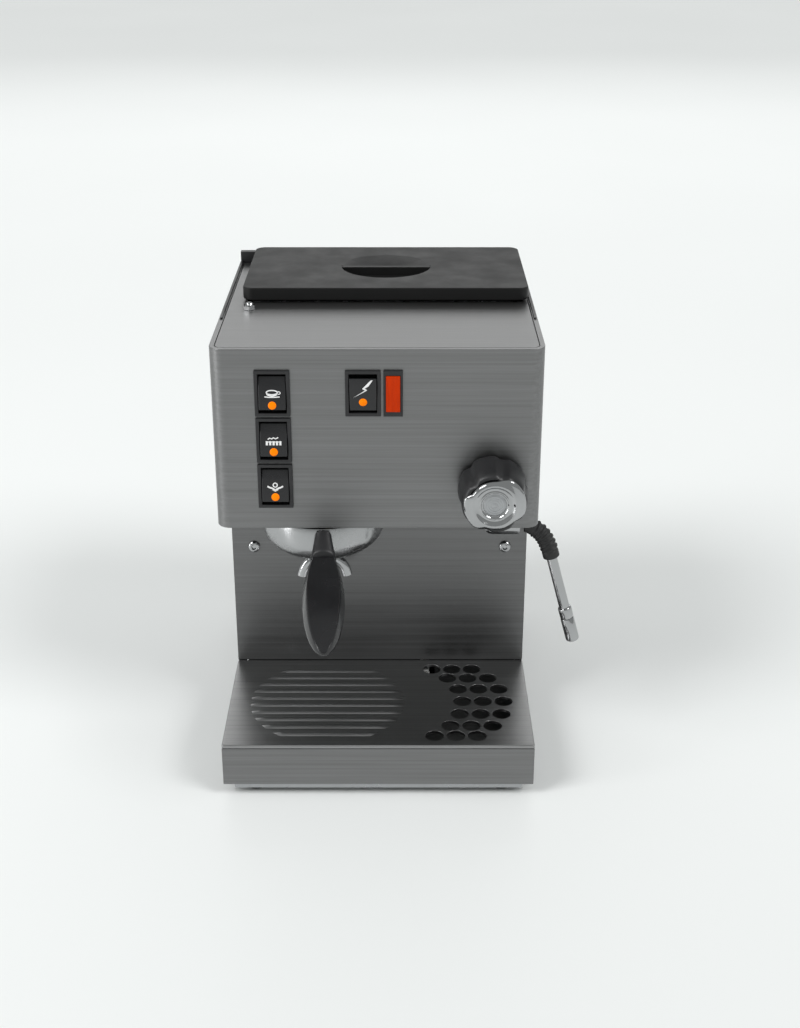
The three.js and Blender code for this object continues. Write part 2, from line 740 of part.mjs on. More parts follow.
function addHandle() {
  const rings = 12;
  const sides = 16;
  const { length, halfWidth, halfHeight } = HANDLE;
  const points = [];
  for (let i = 0; i <= rings; i += 1) {
    const t = i / rings;
    const w = handleHalfWidth(t);
    const h = w * (halfHeight / halfWidth);
    for (let k = 0; k < sides; k += 1) {
      const a = (2 * Math.PI * k) / sides;
      const flat = Math.sign(Math.sin(a)) * Math.abs(Math.sin(a)) ** 0.8;
      points.push(w * Math.sign(Math.cos(a)) * Math.abs(Math.cos(a)) ** 0.8, -t * length, h * flat);
    }
  }
  points.push(0, 0, 0, 0, -length - 0.6, 0);
  const near = (rings + 1) * sides;
  const index = [];
  for (let i = 0; i < rings; i += 1) {
    for (let k = 0; k < sides; k += 1) {
      const a = i * sides + k;
      const b = i * sides + ((k + 1) % sides);
      index.push(a, b, a + sides, b, b + sides, a + sides);
    }
  }
  for (let k = 0; k < sides; k += 1) {
    const next = (k + 1) % sides;
    index.push(near, next, k);
    index.push(near + 1, rings * sides + k, rings * sides + next);
  }
  const geometry = new THREE.BufferGeometry();
  geometry.setAttribute("position", new THREE.Float32BufferAttribute(points, 3));
  geometry.setIndex(index);
  geometry.rotateX(rad(HANDLE.drop));
  geometry.translate(BREW.x, BREW.y - HANDLE.seam - 0.3, 172.6);
  addPart("holder_handle", turnWithHolder(solid(geometry)), glossPlastic);

  const disc = (y, z, radius) => rod("y", [BREW.x, y, z], 0.6, radius, radius, 20);
  const neck = wasm.Manifold.hull([
    disc(BREW.y - HOLDER.outer - 4.2, NECK.high, 5.3),
    disc(BREW.y - HANDLE.seam + 2.4, NECK.low, 8.4),
  ]);
  addPart("handle_neck", turnWithHolder(neck), blackPlastic);
}

// ---------- switches and lamp ----------
// A rocker stands with its top pressed in, or with its bottom pressed in when it is on.
function addSwitch(name, x, z, isOn = false) {
  const w = SWITCH.width / 2;
  const h = SWITCH.height / 2;
  const flange = box(x - w, x + w, -2.2, -0.3, z - h, z + h);
  const body = box(x - w + 2, x + w - 2, -0.5, 15.5, z - h + 2, z + h - 2);
  const cavity = box(x - w + 2.6, x + w - 2.6, -5, 12, z - h + 2.4, z + h - 2.4);
  addPart(`${name}_housing`, cut(join(flange, body), cavity), blackPlastic);

  const { halfWidth, halfHeight, reach, pivot, tilt, crease, slope } = ROCKER;
  const side = new THREE.Shape();
  side.moveTo(-reach, -halfHeight);
  side.lineTo(-reach, crease);
  side.lineTo(-reach + slope, halfHeight);
  side.lineTo(3, 8.6);
  side.lineTo(3, -8.6);
  const block = new THREE.ExtrudeGeometry(side, { depth: 2 * halfWidth, bevelEnabled: false });
  block.rotateX(Math.PI / 2).rotateZ(Math.PI / 2).translate(-halfWidth, 0, 0);
  block.rotateX(rad(isOn ? tilt : -tilt));
  addPart(`${name}_rocker`, solid(block.translate(x, pivot, z)), glossPlastic);
}

function addLamp() {
  const w = LAMP.width / 2;
  const h = SWITCH.height / 2;
  const { x, windowWidth, windowHeight } = LAMP;
  const z = POWER.z;
  const flange = box(x - w, x + w, -2.2, -0.3, z - h, z + h);
  const body = box(x - w + 2, x + w - 2, -0.5, 14, z - h + 2, z + h - 2);
  const a = windowWidth / 2;
  const b = windowHeight / 2;
  const pocket = box(x - a + 1, x + a - 1, -5, 10, z - b, z + b);
  const seat = box(x - a - 0.2, x + a + 0.2, -5, -1.2, z - b - 0.2, z + b + 0.2);
  addPart("lamp_housing", cut(join(flange, body), pocket, seat), blackPlastic);
  const face = box(x - a, x + a, -3.4, -1.5, z - b, z + b);
  const stem = box(x - a + 1.4, x + a - 1.4, -2, 8, z - b + 1, z + b - 1);
  addPart("lamp_lens", join(face, stem), orange);
}

// ---------- steam ----------
function flutedOutline(radius, depth, lobes, phase) {
  const shape = new THREE.Shape();
  const steps = 48;
  for (let i = 0; i < steps; i += 1) {
    const a = (2 * Math.PI * i) / steps;
    const wave = Math.max(Math.cos(lobes * (a - phase)), 0) ** 2;
    const r = radius - depth * wave;
    if (i === 0) shape.moveTo(r, 0);
    else shape.lineTo(r * Math.cos(a), r * Math.sin(a));
  }
  return shape;
}

function addKnob() {
  const { x, z, radius, back, front, flutes } = KNOB;
  const length = back - front;
  const grip = new THREE.ExtrudeGeometry(flutedOutline(radius - 2, 1.9, flutes, rad(75)), {
    depth: length - 6,
    bevelSize: 2,
    bevelThickness: 3,
    bevelSegments: 2,
  });
  grip.rotateX(Math.PI / 2).translate(x, back - 3, z);
  const bore = rod("y", [x, -20, z], 30, 4.4);
  const seat = rod("y", [x, front - 1, z], 4, 18.6, 18.6, 40);
  addPart("steam_knob", cut(solid(grip), bore, seat), blackPlastic);
  const cap = [
    [0, 0],
    [18.2, 0],
    [18.2, 3.2],
    [21.6, 3.4],
    [20.6, 5],
    [15, 6.2],
    [12, 5.6],
    [10.6, 5.2],
    [10, 4.4],
    [0, 4.4],
  ];
  const disc = turned(cap, 0, 0, 32).rotate([90, 0, 0]).translate([x, front + 2.6, z]);
  addPart("knob_cap", disc, polished);
  addPart("valve_stem", rod("y", [x, -19.4, z], 34, 4), brass);
}

function addSteamValve() {
  const { x, z } = KNOB;
  const body = join(
    rod("y", [x, SHEET + 0.8, z], 6, 13, 13, 6),
    rod("y", [x, 6, z], 38, 9.5),
    rod("z", [WAND.x - 16, WAND.y, HEAD.bottom + 6], KNOB.z - HEAD.bottom - 10, 7),
  );
  const bore = rod("y", [x, -2, z], 17.2, 4.4);
  addPart("steam_valve", cut(body, bore), brass);
}

function wandPath(from, to) {
  const pivot = at(WAND.x, WAND.y, WAND.z);
  const along = at(Math.sin(rad(WAND.lean)), 0, -Math.cos(rad(WAND.lean)));
  const corner = pivot.clone().add(at(22.8, 0, -3.6));
  const start = pivot.clone().lerp(corner, from);
  const bendIn = pivot.clone().lerp(corner, 0.45);
  const bendOut = corner.clone().addScaledVector(along, 20);
  const path = new THREE.CurvePath();
  if (from < 0.45) path.add(new THREE.LineCurve3(start, bendIn));
  path.add(new THREE.QuadraticBezierCurve3(bendIn, corner, bendOut));
  path.add(new THREE.LineCurve3(bendOut, corner.clone().addScaledVector(along, to)));
  return path;
}

function addWand() {
  const { x, y, z, tube, tip, sleeve, drop } = WAND;
  const elbow = join(
    rod("z", [x - 16, y, z], HEAD.bottom + 5.4 - z, 7),
    ball([x - 16, y, z], 7.8, 12),
    rod("x", [x - 16, y, z], 20, 7.8),
  );
  const socket = join(rod("x", [x - 9, y, z], 9.5, 7), ball([x, y, z], 7, 12));
  addPart("wand_socket", cut(elbow, socket, rod("x", [x, y, z], 8, 6.1)), polished);

  const stem = bar(wandPath(0, 0), 2.4, 16, 10);
  const near = box(x - 5, x + 9.5, y - 10, y + 10, z - 10, z + 10);
  addPart("wand_ball", join(ball([x, y, z], 6.2, 14), common(stem, near)), polished);
  const pipe = bar(wandPath(0, drop - 4), tube, 16, 10);
  const socketBore = bar(wandPath(0, 0), 2.8, 16, 10);
  const mouth = box(x - 10, x + 6.4, y - 10, y + 10, z - 10, z + 10);
  const deep = box(x - 10, x + 10.2, y - 10, y + 10, z - 10, z + 10);
  addPart("wand_tube", cut(pipe, mouth, common(socketBore, deep)), polished);

  const rings = [];
  const path = wandPath(0.36, 24);
  for (let i = 0; i < 5; i += 1) {
    const t = 0.3 + i * 0.13;
    const centre = path.getPointAt(t);
    const ahead = path.getTangentAt(t);
    const ring = new THREE.CylinderGeometry(sleeve + 0.9, sleeve + 0.9, 2, 10);
    ring.applyQuaternion(new THREE.Quaternion().setFromUnitVectors(at(0, 1, 0), ahead));
    rings.push(solid(ring.translate(centre.x, centre.y, centre.z)));
  }
  const hose = join(bar(path, sleeve, 8, 10), ...rings);
  addPart("wand_sleeve", cut(hose, bar(wandPath(0, drop - 4), tube + 0.4, 16, 10)), rubber);

  const along = at(Math.sin(rad(WAND.lean)), 0, -Math.cos(rad(WAND.lean)));
  const corner = at(x + 22.8, y, z - 3.6);
  const profile = [
    [0, 0],
    [tip - 1.4, 0],
    [tip, 1.4],
    [tip, 20],
    [tip - 0.7, 20.4],
    [tip - 0.7, 21.4],
    [tip, 21.8],
    [tip, 29],
    [tip - 0.8, 30],
    [tube + 0.3, 30],
    [tube + 0.3, 3],
    [0, 3],
  ];
  const end = corner.clone().addScaledVector(along, drop);
  const nozzle = turned(profile, 0, 0, 16).rotate([0, -WAND.lean, 0]).translate([end.x, end.y, end.z]);
  addPart("wand_tip", nozzle, polished);
}

// ---------- fasteners ----------
function addScrews() {
  for (const [side, sign] of Object.entries({ left: -1, right: 1 })) {
    const x = sign * 98;
    const front = COLUMN.front - 0.3;
    const dome = rod("y", [x, front - 2.2, 146.3], 2.2, 3.6, 4.7, 24);
    const head = join(dome, rod("y", [x, front - 0.2, 146.3], 10, 2));
    const recess = rod("y", [x, front - 3, 146.3], 2, 1.7, 1.7, 6);
    addPart(`splash_screw_${side}`, cut(head, recess), polished);
  }
  const top = HEAD.top + 0.3;
  const dome = join(
    rod("z", [-97, 97, top], 3, 4.6, 4.6, 6),
    ball([-97, 97, top + 2.4], 3.4, 12),
    rod("z", [-97, 97, top - 8], 9, 2),
  );
  addPart("top_screw", cut(dome, box(-110, -80, 80, 110, 300, top - 8.5)), polished);
}

addFeet();
addBasePan();
addFrame();
addHeadShell();
addHeadFloor();
addSplashPanel();
addColumnPanels();
addTopPlate();
addTopGuard();
addDripTray();
addTrayCover();
addTank();
addLid();
addPump();
addWaterPipes();
addSteamPipe();
addSolenoid();
addGroup();
addBoiler();
addThermostat();
addCableGland();
addFilterHolder();
addSpout();
addHandle();
SWITCH.z.forEach((z, i) => addSwitch(["brew", "water", "steam"][i] + "_switch", SWITCH.x, z));
addSwitch("power_switch", POWER.x, POWER.z, true);
addLamp();
addKnob();
addSteamValve();
addWand();
addScrews();

// The finished group stands centred on the origin.
const bounds = new THREE.Box3().setFromObject(machine);
const centre = bounds.getCenter(new THREE.Vector3());
machine.position.set(-centre.x, -centre.y, -bounds.min.z);

export default machine;
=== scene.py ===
import math

import bmesh
import bpy
from mathutils import Matrix, Vector
from mathutils.geometry import delaunay_2d_cdt


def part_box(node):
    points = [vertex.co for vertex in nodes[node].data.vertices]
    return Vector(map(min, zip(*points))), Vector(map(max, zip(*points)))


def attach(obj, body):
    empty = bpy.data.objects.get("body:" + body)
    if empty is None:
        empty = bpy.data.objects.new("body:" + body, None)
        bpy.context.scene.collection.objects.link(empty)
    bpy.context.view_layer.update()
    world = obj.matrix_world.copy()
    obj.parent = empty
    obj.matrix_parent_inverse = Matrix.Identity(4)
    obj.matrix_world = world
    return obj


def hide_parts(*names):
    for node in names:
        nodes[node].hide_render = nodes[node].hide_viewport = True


MM = 0.001
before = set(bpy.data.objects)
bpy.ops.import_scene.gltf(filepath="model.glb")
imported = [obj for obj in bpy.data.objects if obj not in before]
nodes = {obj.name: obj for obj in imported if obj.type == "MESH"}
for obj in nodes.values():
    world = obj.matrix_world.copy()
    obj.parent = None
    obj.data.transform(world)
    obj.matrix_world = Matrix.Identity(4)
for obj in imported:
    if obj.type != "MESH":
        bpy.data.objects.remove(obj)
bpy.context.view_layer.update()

# Lengths below are millimetres from the middle of the head's front face, at floor level.
head_low, head_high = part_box("head_shell")
ORIGIN = Vector(((head_low.x + head_high.x) / 2, head_low.y, 0))


def spot(x, y, z):
    return ORIGIN + Vector((x, y, z)) * MM


def middle(node):
    low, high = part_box(node)
    return (low + high) / 2


def in_mm(point):
    return (point - ORIGIN) / MM


BREW = in_mm(middle("boiler"))


# ---------- materials ----------
class Look:
    """A material under construction: its node tree and Principled shader."""

    def __init__(self, name, **sockets):
        self.material = bpy.data.materials.new(name)
        self.material.use_nodes = True
        self.tree = self.material.node_tree
        self.shader = self.tree.nodes["Principled BSDF"]
        self.place = self.add("ShaderNodeTexCoord")
        for socket, value in sockets.items():
            self.shader.inputs[socket.replace("_", " ")].default_value = value

    def add(self, kind, **settings):
        node = self.tree.nodes.new(kind)
        for key, value in settings.items():
            setattr(node, key, value)
        return node

    def link(self, source, target):
        self.tree.links.new(source, target)

    def noise(self, stretch, detail=2.0, rough=0.5):
        """Noise whose grains are 1/stretch metres long along each axis."""
        scale = self.add("ShaderNodeVectorMath", operation="MULTIPLY")
        scale.inputs[1].default_value = stretch
        self.link(self.place.outputs["Object"], scale.inputs[0])
        grain = self.add("ShaderNodeTexNoise")
        grain.inputs["Scale"].default_value = 1.0
        grain.inputs["Detail"].default_value = detail
        grain.inputs["Roughness"].default_value = rough
        self.link(scale.outputs[0], grain.inputs["Vector"])
        return grain.outputs["Fac"]

    def spread(self, value, low, high, start=0.3, end=0.7):
        ramp = self.add("ShaderNodeMapRange")
        names = ("From Min", "From Max", "To Min", "To Max")
        for socket, number in zip(names, (start, end, low, high)):
            ramp.inputs[socket].default_value = number
        self.link(value, ramp.inputs["Value"])
        return ramp.outputs["Result"]

    def blend(self, share, first, second, kind="FLOAT"):
        mix = self.add("ShaderNodeMix", data_type=kind)
        offset = {"FLOAT": 2, "RGBA": 6}[kind]
        self.link(share, mix.inputs[0])
        for index, value in ((offset, first), (offset + 1, second)):
            if isinstance(value, bpy.types.NodeSocket):
                self.link(value, mix.inputs[index])
            else:
                mix.inputs[index].default_value = value
        return mix.outputs[{"FLOAT": 0, "RGBA": 2}[kind]]

    def colour(self, share, first, second):
        mixed = self.blend(share, (*first, 1), (*second, 1), "RGBA")
        self.link(mixed, self.shader.inputs["Base Color"])
        return mixed

    def rough(self, value, low, high):
        self.link(self.spread(value, low, high), self.shader.inputs["Roughness"])

    def bump(self, height, strength, distance):
        bump = self.add("ShaderNodeBump")
        bump.inputs["Strength"].default_value = strength
        bump.inputs["Distance"].default_value = distance
        self.link(height, bump.inputs["Height"])
        self.link(bump.outputs["Normal"], self.shader.inputs["Normal"])


def sideways(look):
    """1 where the surface faces along X, 0 elsewhere."""
    parts = look.add("ShaderNodeSeparateXYZ")
    look.link(look.place.outputs["Normal"], parts.inputs[0])
    size = look.add("ShaderNodeMath", operation="ABSOLUTE")
    look.link(parts.outputs["X"], size.inputs[0])
    over = look.add("ShaderNodeMath", operation="GREATER_THAN")
    look.link(size.outputs[0], over.inputs[0])
    over.inputs[1].default_value = 0.75
    return over.outputs[0]


def brushed_steel(name, shade, roughness, contrast=0.12):
    look = Look(name, Metallic=1.0)
    side = sideways(look)
    fine = look.blend(side, look.noise((14, 2600, 2600), 3), look.noise((2600, 14, 2600), 3))
    broad = look.blend(side, look.noise((4, 520, 520), 3, 0.7), look.noise((520, 4, 520), 3, 0.7))
    cloud = look.noise((9, 9, 9), 2)
    streak = look.blend(look.spread(cloud, 0.35, 0.65), fine, broad)
    dark = [shade * (1 - contrast)] * 3
    light = [shade * (1 + contrast), shade * (1 + contrast) * 1.005, shade * (1 + contrast) * 1.01]
    look.colour(look.spread(broad, 0, 1, 0.3, 0.7), dark, light)
    look.rough(streak, roughness - 0.06, roughness + 0.08)
    look.bump(fine, 0.12, 0.0004)
    return look.material


def polished_metal(name, colour, roughness=0.07, warm=0.96):
    look = Look(name, Metallic=1.0)
    smudge = look.noise((60, 60, 60), 3)
    scratch = look.noise((900, 60, 900), 2)
    look.colour(look.spread(smudge, 0, 1), [c * warm for c in colour], colour)
    look.rough(smudge, roughness * 0.7, roughness * 1.6)
    look.bump(scratch, 0.02, 0.0002)
    return look.material


def plastic(name, colour, roughness, grain, strength, lift=1.35, specular=0.5):
    look = Look(name, Specular_IOR_Level=specular)
    fine = look.noise((grain, grain, grain), 2)
    haze = look.noise((45, 45, 45), 3)
    look.colour(look.spread(haze, 0, 1), colour, [c * lift for c in colour])
    look.rough(haze, roughness - 0.05, roughness + 0.07)
    look.bump(fine, strength, 0.0002)
    return look.material


def clear_plastic(name, colour, transmission):
    look = Look(name, IOR=1.49, Transmission_Weight=transmission)
    haze = look.noise((80, 80, 80), 3)
    look.colour(look.spread(haze, 0, 1), colour, [min(1, c * 1.04) for c in colour])
    look.rough(haze, 0.2, 0.34)
    look.bump(haze, 0.05, 0.0004)
    return look.material


def lens(name, colour, glow):
    look = Look(name, Emission_Color=(*colour, 1), Emission_Strength=glow, Specular_IOR_Level=0.1)
    ribs = look.noise((300, 300, 40), 2)
    look.colour(look.spread(ribs, 0, 1), [c * 0.82 for c in colour], colour)
    look.rough(ribs, 0.22, 0.36)
    look.bump(ribs, 0.1, 0.0003)
    return look.material


STEEL = brushed_steel("front_steel", 0.215, 0.36)
TOP_STEEL = brushed_steel("top_steel", 0.23, 0.4, 0.06)
# The splash panel is the same stainless steel as the front, made darker to paint in the shade that falls on
# it.
SHADED_SPLASH_STEEL = brushed_steel("splash_steel_painted_shade", 0.18, 0.36)
# The tray cover is the same stainless steel made lighter, painting in the light it catches from the sides.
LIT_COVER_STEEL = brushed_steel("cover_steel_painted_light", 0.3, 0.34)
CHROME = polished_metal("chrome", (0.42, 0.425, 0.43))
SATIN_CHROME = polished_metal("satin_chrome", (0.4, 0.405, 0.41), 0.2)
ZINC = polished_metal("zinc_plate", (0.42, 0.43, 0.44), 0.32)
BRASS = polished_metal("brass", (0.62, 0.45, 0.2), 0.25)
COPPER = polished_metal("copper", (0.68, 0.33, 0.19), 0.22)
PAINT = plastic("grey_paint", (0.03, 0.031, 0.033), 0.5, 900, 0.15)
MATT = plastic("matt_black", (0.011, 0.011, 0.012), 0.42, 2400, 0.1)
LID_BLACK = plastic("lid_black", (0.008, 0.008, 0.008), 0.5, 2600, 0.06, 1.02, 0.25)
GLOSS = plastic("gloss_black", (0.009, 0.009, 0.01), 0.24, 1200, 0.04)
RUBBER = plastic("rubber", (0.012, 0.012, 0.012), 0.55, 1600, 0.2)
TANK = clear_plastic("tank_plastic", (0.85, 0.88, 0.89), 0.75)
HOSE = clear_plastic("silicone", (0.86, 0.87, 0.85), 0.5)
ORANGE = lens("orange_lens", (0.5, 0.03, 0.0), 0.1)
DOT = lens("orange_dot", (1.0, 0.22, 0.0), 0.25)
PRINT = plastic("white_print", (0.78, 0.78, 0.78), 0.5, 3000, 0.05, 1.05)


# ---------- CAD nodes that stay ----------
def dress(node, material, bevel=0.35, segments=3, angle=28):
    """A carried-over node gets its material, joined faces and rounded edges."""
    piece = nodes[node]
    piece.data.materials.clear()
    piece.data.materials.append(material)
    piece.data.polygons.foreach_set("use_smooth", [True] * len(piece.data.polygons))
    round_off(piece, bevel, segments, angle, weld=True)


def round_off(piece, bevel, segments=3, angle=28, weld=False):
    """Rounds a piece's edges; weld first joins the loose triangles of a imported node."""
    if weld:
        piece.modifiers.new("weld", "WELD").merge_threshold = 1e-5
        flat = piece.modifiers.new("flat", "DECIMATE")
        flat.decimate_type = "DISSOLVE"
        flat.angle_limit = math.radians(0.5)
    edge = piece.modifiers.new("edge", "BEVEL")
    edge.width = bevel * MM
    edge.segments = segments
    edge.limit_method = "ANGLE"
    edge.angle_limit = math.radians(angle)
    edge.use_clamp_overlap = True
    piece.modifiers.new("normals", "WEIGHTED_NORMAL").keep_sharp = False


def dress_all():
    dress("head_shell", STEEL, 0.5, 3, 14)
    for node in ("side_panel_left", "side_panel_right", "rear_panel", "drip_tray"):
        dress(node, STEEL, 0.35)
    # painted shade: the splash panel takes the darker copy of the front steel
    dress("splash_panel", SHADED_SPLASH_STEEL, 0.3, 3, 40)
    dress("top_plate", TOP_STEEL, 0.4)
    dress("tank_lid", LID_BLACK, 0.5, 3, 35)
    dress("top_guard", MATT, 0.4)
    dress("base_pan", ZINC, 0.4)
    dress("head_floor", PAINT, 0.3)
    dress("chassis_frame", PAINT, 0.3)
    dress("pump_bracket", ZINC, 0.2)
    dress("pump", MATT, 0.6)
    dress("relief_valve", BRASS, 0.5)
    dress("feed_hose", HOSE, 0.2)
    dress("drain_pipe", HOSE, 0.2)
    dress("pressure_pipe", COPPER, 0.2)
    dress("steam_pipe", COPPER, 0.2)
    dress("solenoid_valve", PAINT, 0.5)
    dress("group_head", BRASS, 0.3)
    dress("group_gasket", RUBBER, 0.2)
    dress("shower_screen", CHROME, 0.1)
    dress("boiler", BRASS, 0.5)
    dress("heating_element", COPPER, 0.3)
    dress("thermostat", ZINC, 0.2)
    dress("cable_gland", MATT, 0.3)
    dress("filter_basket", CHROME, 0.1, 2, 20)
    dress("valve_stem", BRASS, 0.2)
    dress("steam_valve", BRASS, 0.3)
    dress("wand_socket", CHROME, 0.3)
    dress("wand_ball", CHROME, 0.2)
    dress("water_tank", TANK, 0.3)
    dress("top_screw", CHROME, 0.3)
    for end in ("front", "rear"):
        for side in ("left", "right"):
            dress(f"foot_{end}_{side}", RUBBER, 0.6)
    for name in ("brew", "water", "steam", "power"):
        dress(f"{name}_switch_housing", MATT, 0.45)
        dress(f"{name}_switch_rocker", GLOSS, 0.6)
    dress("lamp_housing", MATT, 0.45)
    dress("lamp_lens", ORANGE, 0.5)


# ---------- building ----------
def piece_of(name, corners, faces, material, body, smooth=True):
    mesh = bpy.data.meshes.new(name)
    mesh.from_pydata([tuple(c) for c in corners], [], faces)
    mesh.materials.append(material)
    if smooth:
        mesh.shade_smooth()
    mesh.update()
    tidy = bmesh.new()
    tidy.from_mesh(mesh)
    bmesh.ops.remove_doubles(tidy, verts=tidy.verts, dist=1e-6)
    bmesh.ops.recalc_face_normals(tidy, faces=tidy.faces)
    tidy.to_mesh(mesh)
    tidy.free()
    piece = bpy.data.objects.new(name, mesh)
    bpy.context.scene.collection.objects.link(piece)
    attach(piece, body)
    return piece


def crease(piece, degrees=35):
    piece.data.set_sharp_from_angle(angle=math.radians(degrees))


def rings_to_mesh(rings, capped=True):
    """Faces that join equal rings of points; when capped, the two ends are closed."""
    corners = [p for ring in rings for p in ring]
    size, faces = len(rings[0]), []
    for i in range(len(rings) - 1):
        a, b = i * size, (i + 1) * size
        for k in range(size):
            n = (k + 1) % size
            faces.append((a + k, a + n, b + n, b + k))
    if capped:
        faces.append(tuple(range(size)))
        faces.append(tuple(range(len(corners) - size, len(corners))))
    return corners, faces


def placed(x, y, z, *turns):
    """A matrix from local millimetres to the row frame, with turns as (degrees, axis) pairs."""
    matrix = Matrix.Translation(spot(x, y, z))
    for degrees, axis in turns:
        matrix = matrix @ Matrix.Rotation(math.radians(degrees), 4, axis)
    return matrix @ Matrix.Scale(MM, 4)


def lathe(profile, matrix, sides=72, wobble=None):
    """Rings of (radius, height) points about local Z; wobble(radius, angle) bends their radius."""
    rings = []
    for radius, height in profile:
        ring = []
        for k in range(sides):
            angle = 2 * math.pi * k / sides
            r = max(wobble(radius, angle) if wobble else radius, 1e-3)
            ring.append(matrix @ Vector((r * math.cos(angle), r * math.sin(angle), height)))
        rings.append(ring)
    return rings


def arc_points(centre, radius, start, end, steps):
    return [
        (centre[0] + radius * math.cos(math.radians(start + (end - start) * i / steps)),
         centre[1] + radius * math.sin(math.radians(start + (end - start) * i / steps)))
        for i in range(steps + 1)
    ]


def sweep(path, radius_at, sides=32):
    """Rings of a round bar along points, in metres, with radius_at(share) in millimetres."""
    lengths = [0.0]
    for a, b in zip(path, path[1:]):
        lengths.append(lengths[-1] + (b - a).length)
    side = Vector((0, 1, 0))
    rings = []
    for i, point in enumerate(path):
        ahead = (path[min(i + 1, len(path) - 1)] - path[max(i - 1, 0)]).normalized()
        up = ahead.cross(side).normalized()
        across = up.cross(ahead).normalized()
        radius = radius_at(lengths[i] / lengths[-1]) * MM
        rings.append([
            point + (up * math.cos(a) + across * math.sin(a)) * radius
            for a in (2 * math.pi * k / sides for k in range(sides))
        ])
    return rings


def smooth_step(value, low, high):
    share = min(max((value - low) / (high - low), 0), 1)
    return share * share * (3 - 2 * share)


# ---------- drip tray cover ----------
PATTERN = dict(ribs=10, pitch=10.3, x=-39.4, y=1.1, radius=59.4)
HOLES = dict(rows=7, columns=3, arc=64.4, x=-0.4, y=1.3, step=16.45, pitch=15.85, radius=7.0, lip=0.15)
SHEET = dict(fold=0.9, corner=1.2, back=0.2, thickness=0.8, rim=2.6, hole=2.2)
RIB = dict(across=(-2.9, -2.2, -1.2, 0, 1.2, 2.2, 2.9), half=2.9, height=1.1, run_out=3.2, steps=24)


def hole_centres():
    for row in range(HOLES["rows"]):
        angle = math.radians((row - (HOLES["rows"] - 1) / 2) * HOLES["step"])
        for column in range(HOLES["columns"]):
            yield (
                HOLES["x"] + HOLES["arc"] * math.cos(angle) + column * HOLES["pitch"],
                HOLES["y"] - HOLES["arc"] * math.sin(angle),
            )


def add_loop(bm, points, z):
    return [bm.verts.new(spot(x, y, z)) for x, y in points]


def roll_down(bm, loop, rows):
    """Joins a loop to further loops given as lists of (x, y, z)."""
    for row in rows:
        lower = [bm.verts.new(spot(*p)) for p in row]
        for k in range(len(loop)):
            n = (k + 1) % len(loop)
            bm.faces.new((loop[k], loop[n], lower[n], lower[k]))
        loop = lower


def circle(x, y, radius, steps=40):
    return [
        (x + radius * math.cos(2 * math.pi * k / steps), y + radius * math.sin(2 * math.pi * k / steps))
        for k in range(steps)
    ]


def rectangle(x0, x1, y0, y1, corner, steps=5):
    points = []
    for cx, cy, start in ((x1, y1, 0), (x0, y1, 90), (x0, y0, 180), (x1, y0, 270)):
        sx = -corner if cx == x1 else corner
        sy = -corner if cy == y1 else corner
        points += arc_points((cx + sx, cy + sy), corner, start, start + 90, steps)
    return points


def fill_round_holes(bm, rim, holes):
    """Fills the flat face inside rim, all but the round holes."""
    corners, edges = [], []
    for loop in [rim] + [loop for _, _, loop in holes]:
        first, count = len(corners), len(loop)
        edges += [(first + i, first + (i + 1) % count) for i in range(count)]
        corners += loop
    flat = [in_mm(corner.co).xy for corner in corners]
    made = delaunay_2d_cdt(flat, edges, [], 0, 1e-4)
    reach = (HOLES["radius"] + HOLES["lip"]) * 0.995 * MM
    middles = [spot(x, y, 0).xy for x, y, _ in holes]
    for face in made[2]:
        ring = [corners[made[3][k][0]] for k in face]
        centre = sum((corner.co.xy for corner in ring), Vector((0, 0))) / 3
        if all((centre - hole).length > reach for hole in middles):
            bm.faces.new(ring)


def cover_outline(inset):
    """The cover's edge, drawn in by inset at its front and sides."""
    low, high = (in_mm(corner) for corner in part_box("tray_cover"))
    x0, x1, y0 = low.x + inset, high.x - inset, low.y + inset
    return rectangle(x0, x1, y0, high.y - SHEET["back"], SHEET["corner"])


def cover_mesh(top):
    bm = bmesh.new()
    fold, lip, radius = SHEET["fold"], HOLES["lip"], HOLES["radius"]
    rim = add_loop(bm, cover_outline(fold), top)
    holes = [(x, y, add_loop(bm, circle(x, y, radius + lip), top)) for x, y in hole_centres()]
    fill_round_holes(bm, rim, holes)
    bends = [math.radians(a) for a in (22, 45, 68, 90)]
    steps = [(math.sin(a), 1 - math.cos(a)) for a in bends]
    for x, y, loop in holes:
        rows = []
        for out, drop in steps:
            rows.append([(*p, top - drop * lip) for p in circle(x, y, radius + lip * (1 - out))])
        rows.append([(*p, top - SHEET["hole"]) for p in circle(x, y, radius)])
        roll_down(bm, loop, rows)
    rows = [[(*p, top - drop * fold) for p in cover_outline(fold * (1 - out))] for out, drop in steps]
    rows.append([(*p, top - SHEET["rim"]) for p in cover_outline(0)])
    roll_down(bm, rim, rows)
    mesh = bpy.data.meshes.new("cover_sheet")
    bmesh.ops.recalc_face_normals(bm, faces=bm.faces)
    bm.to_mesh(mesh)
    bm.free()
    mesh.materials.append(LIT_COVER_STEEL)
    mesh.shade_smooth()
    mesh.set_sharp_from_angle(angle=math.radians(40))
    return mesh


def add_tray_cover():
    top = in_mm(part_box("splash_panel")[0]).z - 0.4
    sheet = bpy.data.objects.new("cover_sheet", cover_mesh(top))
    bpy.context.scene.collection.objects.link(sheet)
    thick = sheet.modifiers.new("thickness", "SOLIDIFY")
    thick.thickness = SHEET["thickness"] * MM
    thick.offset = -1
    normals = sheet.modifiers.new("normals", "WEIGHTED_NORMAL")
    normals.weight = 100
    normals.keep_sharp = True
    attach(sheet, "tray_cover")
    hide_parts("tray_cover")
    add_ribs(top)


